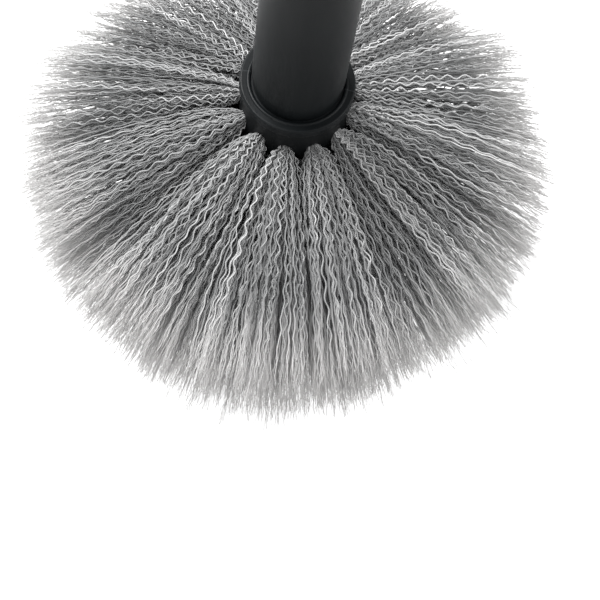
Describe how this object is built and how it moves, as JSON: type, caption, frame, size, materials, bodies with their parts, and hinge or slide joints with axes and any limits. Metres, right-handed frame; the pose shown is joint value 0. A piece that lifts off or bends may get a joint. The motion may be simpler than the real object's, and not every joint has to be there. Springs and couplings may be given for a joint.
{
  "type": "cobweb brush head",
  "caption": "Round cobweb brush head of crimped grey tufts on a dark moulded socket for a pole.",
  "frame": {"origin": "middle of the face in the socket that the pole's end stops on, level with the top of the collar", "axes": "+Z along the pole, out of the socket's mouth; +X through the first tuft of the top row"},
  "size_m": [0.19, 0.19, 0.235],
  "materials": {
    "socket_plastic": "satin",
    "core_plastic": "matte",
    "staple_wire": "satin",
    "filament": "satin"
  },
  "bodies": {
    "root": {"socket": "socket_plastic", "core": "core_plastic", "tuft_staples": "staple_wire", "tuft_row_1_01": "filament", "tuft_row_1_02": "filament", "tuft_row_1_03": "filament", "tuft_row_1_04": "filament", "tuft_row_1_05": "filament", "tuft_row_1_06": "filament", "tuft_row_1_07": "filament", "tuft_row_1_08": "filament", "tuft_row_1_09": "filament", "tuft_row_1_10": "filament", "tuft_row_1_11": "filament", "tuft_row_1_12": "filament", "tuft_row_2_01": "filament", "tuft_row_2_02": "filament", "tuft_row_2_03": "filament", "tuft_row_2_04": "filament", "tuft_row_2_05": "filament", "tuft_row_2_06": "filament", "tuft_row_2_07": "filament", "tuft_row_2_08": "filament", "tuft_row_2_09": "filament", "tuft_row_2_10": "filament", "tuft_row_2_11": "filament", "tuft_row_2_12": "filament", "tuft_row_3_01": "filament", "tuft_row_3_02": "filament", "tuft_row_3_03": "filament", "tuft_row_3_04": "filament", "tuft_row_3_05": "filament", "tuft_row_3_06": "filament", "tuft_row_3_07": "filament", "tuft_row_3_08": "filament", "tuft_row_3_09": "filament", "tuft_row_3_10": "filament", "tuft_row_3_11": "filament", "tuft_row_3_12": "filament", "tuft_row_4_01": "filament", "tuft_row_4_02": "filament", "tuft_row_4_03": "filament", "tuft_row_4_04": "filament", "tuft_row_4_05": "filament", "tuft_row_4_06": "filament", "tuft_row_4_07": "filament", "tuft_row_4_08": "filament", "tuft_row_4_09": "filament", "tuft_row_4_10": "filament", "tuft_row_4_11": "filament", "tuft_row_4_12": "filament", "tufts_row_5": "filament", "tufts_row_6": "filament", "tufts_row_7": "filament"}
  },
  "joints": []
}
